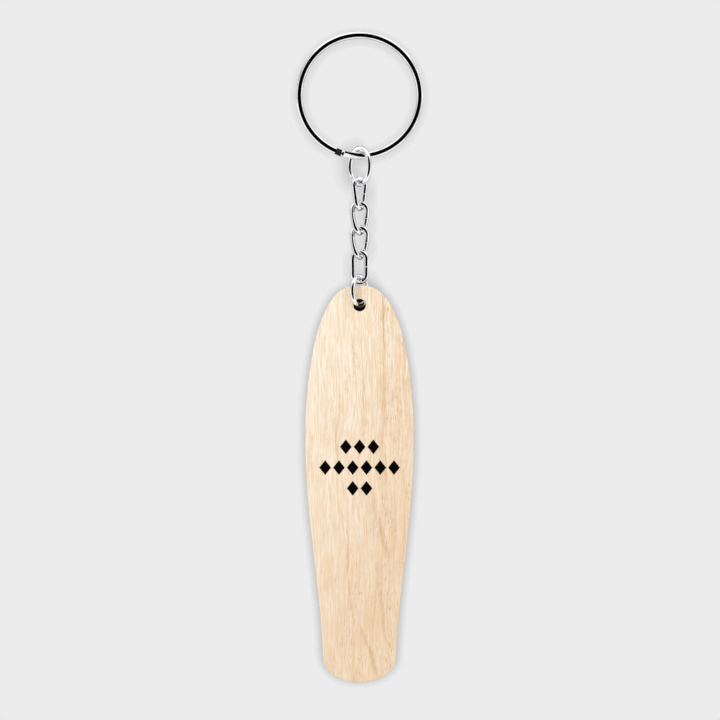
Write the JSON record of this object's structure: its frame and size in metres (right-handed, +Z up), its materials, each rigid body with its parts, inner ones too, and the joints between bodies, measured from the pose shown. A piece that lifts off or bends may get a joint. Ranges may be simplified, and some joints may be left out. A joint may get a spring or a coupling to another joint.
{
  "type": "keychain with wooden tag",
  "caption": "Split ring, connector ring and curb chain that carry a long round-nosed plywood tag with a plain diamond print on one face.",
  "frame": {"origin": "centre of the split ring", "axes": "+Z up, away from the hanging tag; -Y is the way the tag's printed face looks; +X to the right when the printed face is seen"},
  "size_m": [0.025, 0.0068, 0.1276],
  "materials": {
    "spring_steel": "bright nickel plate over flat spring wire, polished with fine hairline scratches",
    "plated_wire": "bright nickel plate over round steel wire",
    "face_veneer": "pale sanded birch veneer, straight grain along the tag, laser-browned edges",
    "core_veneer": "cross-grained core ply, laser-browned edge",
    "black_ink": "matt black printed ink"
  },
  "bodies": {
    "key_ring": {"split_ring": "spring_steel"},
    "connector": {"connector_ring": "plated_wire"},
    "link_1": {"curb_link_1": "plated_wire"},
    "link_2": {"curb_link_2": "plated_wire"},
    "link_3": {"curb_link_3": "plated_wire"},
    "link_4": {"curb_link_4": "plated_wire"},
    "jump_ring": {"jump_ring": "plated_wire"},
    "tag": {"tag_front_ply": "face_veneer", "tag_core_ply": "core_veneer", "tag_back_ply": "face_veneer", "printed_motif": "black_ink"}
  },
  "joints": [
    {"name": "ring_travel", "type": "hinge", "parent": "key_ring", "child": "connector", "pos_m": [0, 0, 0], "axis": [0, 1, 0], "continuous": true},
    {"name": "link_1_swing", "type": "hinge", "parent": "connector", "child": "link_1", "pos_m": [0, 0, -0.01739], "axis": [0.5446, -0.8387, 0], "range_deg": [-75, 75]},
    {"name": "link_2_swing", "type": "hinge", "parent": "link_1", "child": "link_2", "pos_m": [0, 0, -0.02218], "axis": [0.342, 0.9397, 0], "range_deg": [-70, 70]},
    {"name": "link_3_swing", "type": "hinge", "parent": "link_2", "child": "link_3", "pos_m": [0, 0, -0.02591], "axis": [-0.9397, 0.342, 0], "range_deg": [-50, 50]},
    {"name": "link_4_swing", "type": "hinge", "parent": "link_3", "child": "link_4", "pos_m": [0, 0, -0.03176], "axis": [-0.342, -0.9397, 0], "range_deg": [-75, 75]},
    {"name": "jump_ring_swing", "type": "hinge", "parent": "link_4", "child": "jump_ring", "pos_m": [0, 0, -0.03554], "axis": [0.5062, 0.8624, 0], "range_deg": [-40, 40]},
    {"name": "tag_swing", "type": "hinge", "parent": "jump_ring", "child": "tag", "pos_m": [0, 0, -0.04114], "axis": [0, 1, 0], "range_deg": [-12, 12]}
  ]
}
